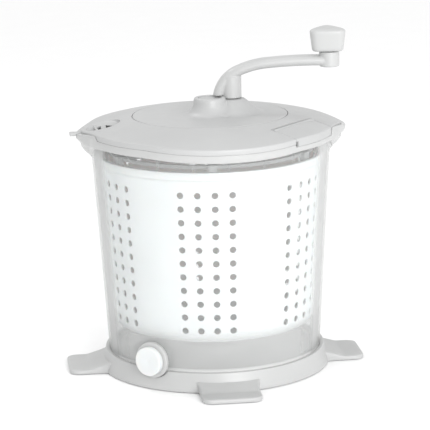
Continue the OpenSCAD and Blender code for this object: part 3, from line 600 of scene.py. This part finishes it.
def basket():
    steps = [HALF_W * 2 / SIDE] * (4 * SIDE) + [PLAIN_SPAN / PLAIN] * PLAIN
    degrees = [GROUP_TURN - 2 * COLUMN]
    for step in steps * GROUPS:
        degrees.append(degrees[-1] + step)
    degrees.pop()

    def turned(profile):
        return loft([[around(d, r, z) for d in degrees] for r, z in profile], close=False)

    foot_out = [(basket_r(z), z) for z in np.linspace(LOWER, B_LOW + 0.4, 8)]
    foot_in = [(basket_r(z, 1), z) for z in np.linspace(B_LOW + B_WALL + 0.3, LOWER, 6)]
    base = [(0, 63.6), (9.06, 63.6), (9.06, 50.4), (9.6, 50), (14.4, 50), (15.2, 50.6), (16.6, 55.4),
            (17.8, 56), (60, 56), (basket_r(60) - 9, 56)]
    floor = [(basket_r(60) - 10, 58.4), (60, 58.4), (18.6, 58.4), (17.6, 59.2), (15.6, 66.2), (14.6, 67),
             (0, 67)]
    top_in = B_RIM - 3.4 - B_WALL
    collar = [(basket_r(UPPER), UPPER), (basket_r(253), 253), (basket_r(257), 257.0),
              (basket_r(258) + 0.7, 258.0), (B_RIM - 0.5, 259.3), (B_RIM, 260.4), (B_RIM, 267.4),
              (B_RIM - 0.35, 268.25), (B_RIM - 1.2, 268.6), (top_in + 0.9, 268.6), (top_in + 0.25, 268.3),
              (top_in - 0.02, 267.6), (basket_r(260, 1), 260), (basket_r(UPPER, 1), UPPER)]
    shell = [turned(base + foot_out[::-1]), turned(foot_in[::-1] + floor), turned(collar)]
    middles = [GROUP_TURN + 60 * g for g in range(GROUPS)]
    for middle in middles:
        for column in range(4):
            deg = middle + (column - 1.5) * COLUMN
            shell += [hole_cell(deg, TOP_ROW - row * ROW_PITCH) for row in range(ROWS)]
    for middle in middles:
        shell += [plain_wall(middle + 2 * COLUMN, depth) for depth in (0, 1)]
    ob = piece("basket_shell", *together(*shell), "white_basket", weld=0.02)
    drill_floor(ob)
    lugs = []
    for i in range(6):
        for s in (-1, 1):
            y = s * (5.5 + 2.4)
            lug = box_shape((128.8, y - 1.5, 248), (134.0, y + 1.5, 265), 0.5)
            lugs.append(placed(lug, turn_z(math.radians(-95.6 + 60 * i))))
    join(ob, piece("basket_lugs", *together(*lugs), "white_basket"))
    shade(ob)
    finish_piece(ob, "basket", "white_basket", "basket")


# ---------------------------------------------------------------- lid, flap and hub
def flap_point(n, t, z):
    c, s = math.cos(FLAP_TURN), math.sin(FLAP_TURN)
    return (n * c - t * s, n * s + t * c, z)


def edge_round(out, z):
    """Rounded upper edge of the lid's rim, at distance out, under the top's height z(distance)."""
    turns = [math.radians(a) for a in (72, 54, 36, 18, 0)]
    return [(out - 2 + 2 * math.cos(a), z(out - 2) - 2.0 + 2 * math.sin(a)) for a in turns]


def scoop_matrix():
    centre = (-131, -5, float(dome(131)) - 5.4)
    lean, fall = Matrix.Rotation(math.radians(-11), 4, "Y"), Matrix.Rotation(math.radians(15), 4, "X")
    return Matrix.Translation(centre) @ lean @ fall


def sink_scoop(ob):
    """Sinks the scoop into the lid's left ear, with a wall round it and two openings in its floor."""
    m = scoop_matrix()
    wall = placed(lathe(rounded([(0, -1.8), (23.3, -1.8, 2), (23.3, 6.0), (0, 6.0)], 0.2), 72), m)
    blocks = piece("scoop_wall", *wall, "lid_plastic")
    trim_top = piece("scoop_trim", *box_shape((-170, -40, 312), (-90, 40, 340), 0.5), "lid_plastic")
    boolean(blocks, trim_top, "DIFFERENCE")
    skin = []
    for i in range(72):  # keeps the scoop's wall under the lid's skin
        t = math.radians(150 + 60 * i / 71)
        sec = [(90, 330)] + [(r, float(dome(r)) - 1.2) for r in (90, *range(98, 166, 4))] + [(166, 330)]
        skin.append([(r * math.cos(t), r * math.sin(t), h) for r, h in sec])
    over = piece("over_skin", *loft(skin, close=False, caps=True), "lid_plastic")
    boolean(blocks, over, "DIFFERENCE")
    boolean(ob, blocks, "UNION")
    scoop = placed(lathe(rounded([(0, 0), (21.5, 0, 3.5), (21.5, 26), (0, 26)], 0.2, 6), 72), m)
    boolean(ob, piece("scoop_space", *scoop, "lid_plastic"), "DIFFERENCE", bevel=0.7)
    hole = lathe(rounded([(0, 280), (14, 280), (14, 304.5), (0, 304.5)], 0.2), 60, (-131, -10))
    for side in (-1, 1):
        drill = piece("scoop_drill", *hole, "lid_plastic")
        x0, x1 = (-150, -134) if side < 0 else (-128, -112)
        keep = piece("scoop_half", *box_shape((x0, -30, 270), (x1, 20, 306), 0.5), "lid_plastic")
        boolean(drill, keep, "INTERSECT")
        inside = lathe([(0, 260), (SCOOP_REACH, 260), (SCOOP_REACH, 320), (0, 320)], 180)
        boolean(drill, piece("scoop_mouth", *inside, "lid_plastic"), "INTERSECT")
        boolean(ob, drill, "DIFFERENCE", bevel=0.3)


def lid():
    def z(r):
        return float(dome(r))

    loops = []
    for i in range(360):
        t = math.radians(i)
        rim = float(outline_r(t, 0, EAR_INSET))
        sec = [(95.6, z(96) - 1.0), (95.75, z(96) - 0.4), (96.2, z(96.2) - 0.08), (96.9, z(96.9))]
        last = rim - 2.2
        sec += [(96.9 + (last - 96.9) * k / 13, z(96.9 + (last - 96.9) * k / 13)) for k in range(1, 14)]
        sec += edge_round(rim, z)
        low = z(rim) - LID_BAND
        sec += [(rim, low + 0.6), (rim - 0.18, low + 0.15), (rim - 0.6, low), (rim - 2.5, low),
                (rim - 2.9, low + 0.2), (rim - 3, low + 0.6), (rim - 3, z(rim - 3) - 3.8),
                (rim - 3.3, z(rim - 3) - 2.9), (rim - 4.2, z(rim - 4) - LID_SHELL)]
        sec += [(r, z(r) - LID_SHELL) for r in (rim - 8, 143, 130, 116, 104)]
        sec += [(98.8, z(98.8) - LID_SHELL - 0.1), (98.2, z(98.2) - 3.3), (98.2, 308.0), (97.8, 307.6),
                (70.4, 307.6), (70.0, 308.0), (70.0, 310.2), (70.4, 310.6), (95.2, 310.6), (95.6, 311.0)]
        loops.append([(r * math.cos(t), r * math.sin(t), h) for r, h in sec])
    ob = piece("lid_shell", *loft(loops), "lid_plastic")
    sink_scoop(ob)
    edge = HINGE_N - BARREL_R - BARREL_GAP
    corners = [(edge, FLAP_FROM), (210, FLAP_FROM), (210, FLAP_TO), (edge, FLAP_TO)]
    cutter = loft([[flap_point(n, t, z) for n, t in corners] for z in (270, 340)], close=False, caps=True)
    boolean(ob, piece("flap_opening", *cutter, "lid_plastic"), "DIFFERENCE", bevel=0.25)

    spigot = [(140, 287), (142.4, 287), (142.4, float(dome(142.4)) - 1), (140, float(dome(140)) - 1)]
    extra = [lathe(rounded(spigot, 0.5), 240)]
    extra.append(box_shape((-172.6, -4.5, 293.6), (-156, 4.5, 298.0), 1.0))
    for t in (FLAP_FROM - 6, FLAP_TO):
        lug = box_shape((HINGE_N - 3.5, t, HINGE_Z - 3.2), (HINGE_N + 3.5, t + 6, HINGE_Z + 1.4), 0.5)
        extra.append(placed(lug, turn_z(FLAP_TURN)))
    join(ob, piece("lid_extras", *together(*extra), "lid_plastic"))
    shade(ob)
    finish_piece(ob, "lid", "lid_plastic", "lid")


def pour_flap():
    t0, t1 = FLAP_FROM + FLAP_GAP, FLAP_TO - FLAP_GAP

    def edge_n(t):
        n = 150.0
        for _ in range(12):
            theta = FLAP_TURN + math.atan2(t, n)
            n = math.sqrt(float(outline_r(theta, 0, EAR_INSET)) ** 2 - t * t)
        return n

    def section(t, shrink=0.0):
        out_n = edge_n(t)

        def z(n):
            return float(dome(math.hypot(n, t)))

        band = FLAP_BAND if t > t0 + FLAP_NOTCH else LID_SHELL + 0.5
        rib = FLAP_BAND - 0.4
        pts = [(PLATE_N, z(PLATE_N) - rib + 0.3), (PLATE_N, z(PLATE_N) - 1.9),
               (PLATE_N + 0.25, z(PLATE_N) - 1.1), (PLATE_N + 0.8, z(PLATE_N) - 0.4),
               (PLATE_N + 1.7, z(PLATE_N + 1.7) - 0.03)]
        a0, a1 = PLATE_N + 2.6, out_n - 2.2
        pts += [(a0 + (a1 - a0) * k / 9, z(a0 + (a1 - a0) * k / 9)) for k in range(10)]
        pts += edge_round(out_n, z)
        low = z(out_n) - band
        pts += [(out_n, low + 0.6), (out_n - 0.18, low + 0.15), (out_n - 0.6, low), (out_n - 2.4, low),
                (out_n - 2.9, low + 0.2), (out_n - 3, low + 0.5)]
        under = min(3.4, band - 0.4)
        pts += [(out_n - 3, z(out_n - 3) - under), (out_n - 3.6, z(out_n - 3) - LID_SHELL - 0.1)]
        b0, b1 = out_n - 5, PLATE_N + 3.6
        pts += [(b0 + (b1 - b0) * k / 5, z(b0 + (b1 - b0) * k / 5) - LID_SHELL) for k in range(6)]
        pts += [(PLATE_N + 2.5, z(PLATE_N) - LID_SHELL - 0.9), (PLATE_N + 2.4, z(PLATE_N) - rib + 0.3),
                (PLATE_N + 2.1, z(PLATE_N) - rib), (PLATE_N + 0.3, z(PLATE_N) - rib)]
        if shrink:
            p = np.array(pts)
            d = np.roll(p, -1, 0) - np.roll(p, 1, 0)
            normal = np.stack([-d[:, 1], d[:, 0]], 1)
            normal /= np.maximum(np.linalg.norm(normal, axis=1)[:, None], 1e-9)
            area = float(np.sum(p[:, 0] * np.roll(p[:, 1], -1) - np.roll(p[:, 0], -1) * p[:, 1]))
            pts = (p + normal * shrink * (1 if area > 0 else -1)).tolist()
        return pts

    stops = [(t0, 0.5), (t0 + 0.15, 0.15), (t0 + 0.5, 0.0)]
    stops += [(t, 0.0) for t in (t0 + 2, t0 + FLAP_NOTCH - 0.05, t0 + FLAP_NOTCH + 0.05)]
    stops += [(t, 0.0) for t in np.linspace(t0 + 5, t1 - 2, 34)]
    stops += [(t1 - 0.5, 0.0), (t1 - 0.15, 0.15), (t1, 0.5)]
    loops = [[flap_point(n, t, z) for n, z in section(t, s)] for t, s in stops]
    plate = loft(loops, close=False, caps=True)
    bored = [(PIN_BORE_R, t0), (BARREL_R, t0), (BARREL_R, t1), (PIN_BORE_R, t1)]
    barrel = lathe(rounded(bored, 0.3), 56)
    lay = Matrix.Translation((HINGE_N, 0, HINGE_Z)) @ Matrix.Rotation(-math.pi / 2, 4, "X")
    barrel = placed(barrel, turn_z(FLAP_TURN) @ lay)
    web = box_shape((HINGE_N + 1.6, t0 + 0.2, HINGE_Z - 1.8), (PLATE_N + 1, t1 - 0.2, HINGE_Z - 0.1), 0.4)
    web = placed(web, turn_z(FLAP_TURN))
    ob = piece("pour_flap_shell", *together(plate, barrel, web), "lid_plastic")
    finish_piece(ob, "pour_flap", "lid_plastic", "pour_flap")


def gear_cover():
    # flares of the two lobes: distance from the lobe's axis and height over the lid's top
    centre = smooth_line([(33, 0), (29, 1.1), (25, 3.8), (22, 8), (20.3, 12.5), (19.6, 17), (18.9, 19.6),
                          (17.6, 20.6)], 40)
    shaft = smooth_line([(40, 0), (34, 1.8), (28.5, 5.6), (24, 9.4), (20, 13.1), (16.5, 16), (14.4, 16.8),
                         (12.8, 17)], 40)
    top_z = 20.6
    radii = [0, 6, 11, 13.9, 14.12, 14.2, 14.4, 14.9, 15.8, 16.8] + [float(r) for r in centre[::-1, 0]]
    radii += list(np.arange(34.4, 93.6, 1.3)) + [94.2, 94.6, 94.85, 95.0]
    steps = 288
    turns = [2 * math.pi * i / steps for i in range(steps)]
    rows = []
    for r in radii:
        row = []
        for a in turns:
            x, y = r * math.cos(a), r * math.sin(a)
            h1 = float(np.interp(r, centre[::-1, 0], centre[::-1, 1], left=top_z, right=0))
            d2 = math.hypot(x - SHAFT[0], y - SHAFT[1])
            h2 = float(np.interp(d2, shaft[::-1, 0], shaft[::-1, 1], left=17.0, right=0))
            if r <= 14.12:
                h = 17.8
            elif r < 14.5:
                h = 17.8 + (top_z - 17.8) * smoothstep(r, 14.12, 14.5)
            else:
                both = min(1.0, max(0.0, min(h1, h2)))
                soft = max(0.0, 1 - abs(h1 - h2) / 7.0)
                h = max(h1, h2) + 1.75 * soft * soft * both
            h = min(h, 16.9) if d2 < 14.4 else h
            z = LID_TOP + h
            if r > 94:
                z -= 0.9 * (1 - math.sqrt(max(0.0, 1 - (r - 94) ** 2)))
            row.append((x, y, z))
        rows.append(row)
    low = LID_TOP - 3
    for r, z in ((COVER_R, low + 0.4), (COVER_R - 0.4, low)):
        rows.append([(r * math.cos(a), r * math.sin(a), z) for a in turns])
    rows.append([(0, 0, low)] * steps)
    ob = piece("gear_cover_shell", *loft(rows, close=False), "lid_plastic", weld=0.01)
    finish_piece(ob, "lid", "lid_plastic", "gear_cover")
    disc = rounded([(0, 331.5), (14, 331.5), (14, 333, 0.7), (0, 333)], 0.2, 5)
    ob = piece("hub_disc", *lathe(disc, 120), "lid_plastic")
    finish_piece(ob, "lid", "lid_plastic", "hub_cap")


# ---------------------------------------------------------------- crank and knob
def crank():
    thick, wide, arm_foot = 12.5, 22.0, 334.9
    start, heading, bends = np.array([-16.7, 333.0]), 80.0, [(41.5, 55), (110, 20), (600, 7)]
    side, r = (wide - thick) / 2, thick / 2
    flat = [(r * math.cos(a), (side if math.sin(a) >= 0 else -side) + r * math.sin(a))
            for a in np.linspace(0, 2 * math.pi, 41)[:-1]]
    loops, p, h = [], start, heading
    for radius, sweep in bends:
        c = p + radius * np.array([math.sin(math.radians(h)), -math.cos(math.radians(h))])
        count = max(4, int(sweep / 2.5))
        for k in range(count + 1):
            a = math.radians(h - sweep * k / count)
            spot = c + radius * np.array([-math.sin(a), math.cos(a)])
            across = np.array([-math.sin(a), math.cos(a)])
            if k or not loops:
                loops.append([(spot[0] + across[0] * u, v, max(arm_foot, spot[1] + across[1] * u))
                              for u, v in flat])
        h -= sweep
        a = math.radians(h)
        p = c + radius * np.array([-math.sin(a), math.cos(a)])
    arm = loft(loops, close=False, caps=True)
    boss = lathe(rounded([(0, 331.4), (12.4, 331.4, 0.6), (12.4, 358), (0, 358)], 0.2), 96)
    end = rounded([(0, 367.4), (12.4, 367.4, 1.6), (12.4, 386, 1.0), (0, 386)], 0.2)
    end = lathe(end, 96, (CRANK_REACH, 0))
    m = Matrix.Translation((SHAFT[0], SHAFT[1], 0)) @ turn_z(CRANK_TURN)
    ob = piece("crank_arm_shell", *placed(together(arm, boss, end), m), "crank_plastic", weld=0.0001)
    fuse = ob.modifiers.new("fuse", "REMESH")
    fuse.mode, fuse.voxel_size, fuse.adaptivity = "VOXEL", 0.6 * MM, 0.0
    relax = ob.modifiers.new("relax", "SMOOTH")
    relax.factor, relax.iterations = 0.5, 5
    apply(ob)
    shade(ob, 80)
    finish_piece(ob, "crank", "crank_plastic", "crank_arm")


def knob():
    foot, top = 387.0, 416.7

    def ring(size, corner, z):
        pts = []
        for i in range(96):
            a = 2 * math.pi * i / 96
            # support of a rounded triangle, its corners at 90, 210 and 330 degrees
            reaches = sorted(size * math.cos(a - math.radians(k)) for k in (90, 210, 330))
            second, best = reaches[1:]
            gap = (best - second) / 2.6
            push = best + 0.65 * max(0.0, 1 - gap) ** 2 + corner
            pts.append((a, push))
        rr = np.array([q[1] for q in pts])
        aa = np.array([q[0] for q in pts])
        slope = (np.roll(rr, -1) - np.roll(rr, 1)) / (2 * (2 * math.pi / 96))
        x = rr * np.cos(aa) - slope * np.sin(aa)
        y = rr * np.sin(aa) + slope * np.cos(aa)
        return [(float(u), float(v), z) for u, v in zip(x, y)]

    # size and corner radius of each ring, with its height over the foot or its depth under the top
    foot_rings = ((13, 5.2, 0), (13, 6.4, 0.5), (13, 7.3, 1.4), (13.1, 7.9, 2.6))
    loops = [ring(size, corner, foot + up) for size, corner, up in foot_rings]
    for k in range(1, 8):
        s = k / 8
        loops.append(ring(13.1 + 1.7 * s, 7.9 + 1.1 * s, foot + 2.6 + (top - 6.0 - foot - 2.6) * s))
    top_rings = ((14.8, 9.0, 5.2), (14.8, 8.8, 4.4), (14.6, 8.3, 3.6), (14.4, 7.4, 2.8), (14, 6.0, 2.0),
                 (12.6, 4.6, 1.2), (9.5, 3.4, 0.55), (5, 2.4, 0.12), (0.5, 0.6, 0))
    loops += [ring(size, corner, top - down) for size, corner, down in top_rings]
    m = Matrix.Translation((SHAFT[0], SHAFT[1], 0)) @ turn_z(CRANK_TURN)
    m = m @ Matrix.Translation((CRANK_REACH - 2.2, 0, 0))
    ob = piece("knob_shell", *placed(loft(loops, close=False, caps=True), m), "knob_plastic", angle=60)
    finish_piece(ob, "knob", "knob_plastic", "knob")


# ---------------------------------------------------------------- stage, lights and camera
def stage():
    size = 6.0
    floor = bpy.data.meshes.new("floor")
    corners = [(-size, -size, 0), (size, -size, 0), (size, size, 0), (-size, size, 0)]
    floor.from_pydata(corners, [], [(0, 1, 2, 3)])
    ob = bpy.data.objects.new("floor", floor)
    bpy.context.scene.collection.objects.link(ob)
    floor.materials.append(material("floor_paint", (0.96, 0.96, 0.96), rough=0.9, grain=0, cloud=0.005))
    world = bpy.data.worlds.new("studio")
    bpy.context.scene.world = world
    world.use_nodes = True
    background = world.node_tree.nodes["Background"].inputs
    background["Color"].default_value = (1, 1, 1, 1)
    background["Strength"].default_value = 0.995

    def soft_light(name, place, aim, size, power):
        light = bpy.data.lights.new(name, "AREA")
        light.shape, light.size, light.size_y, light.energy = "RECTANGLE", size[0], size[1], power
        ob = bpy.data.objects.new(name, light)
        ob.location = place
        ob.rotation_euler = (Vector(aim) - Vector(place)).to_track_quat("-Z", "Y").to_euler()
        bpy.context.scene.collection.objects.link(ob)

    soft_light("front", (0.75, -2.9, 0.85), (0, 0, 0.2), (1.3, 1.0), 52)
    soft_light("side", (1.9, -1.9, 1.2), (0, 0, 0.2), (1.2, 1.2), 6)
    soft_light("back", (-0.7, 0.8, 1.6), (0.05, 0, 0.3), (0.35, 0.35), 5)


def camera():
    azimuth, elevation, roll = math.radians(-6.5), math.radians(14.04), math.radians(-1.238)
    pan, tilt = math.radians(-0.0553), math.radians(1.0523)
    aim, distance = Vector((0, 0, 0.1353)), 2.7069
    flat = distance * math.cos(elevation)
    height = distance * math.sin(elevation)
    place = aim + Vector((flat * math.sin(azimuth), -flat * math.cos(azimuth), height))
    data = bpy.data.cameras.new("camera")
    data.lens, data.sensor_width, data.clip_end = 182.3, 36.0, 50.0
    ob = bpy.data.objects.new("camera", data)
    look = Matrix.Translation(place) @ turn_z(azimuth) @ Matrix.Rotation(math.pi / 2 - elevation, 4, "X")
    ob.matrix_world = look @ turn_z(roll) @ Matrix.Rotation(pan, 4, "Y") @ Matrix.Rotation(tilt, 4, "X")
    bpy.context.scene.collection.objects.link(ob)
    bpy.context.scene.camera = ob


camera()
tub()
base_ring()
drain()
basket()
lid()
pour_flap()
gear_cover()
crank()
knob()
slots = {s["node"]: s["material_slot"] for s in frame["record"].get("subparts", [])}
for name, solid in frame["nodes"].items():
    solid.data.materials.clear()
    solid.data.materials.append(MAT[slots.get(name, "lid_plastic")])
stage()
bpy.context.scene.view_settings.view_transform = "Standard"
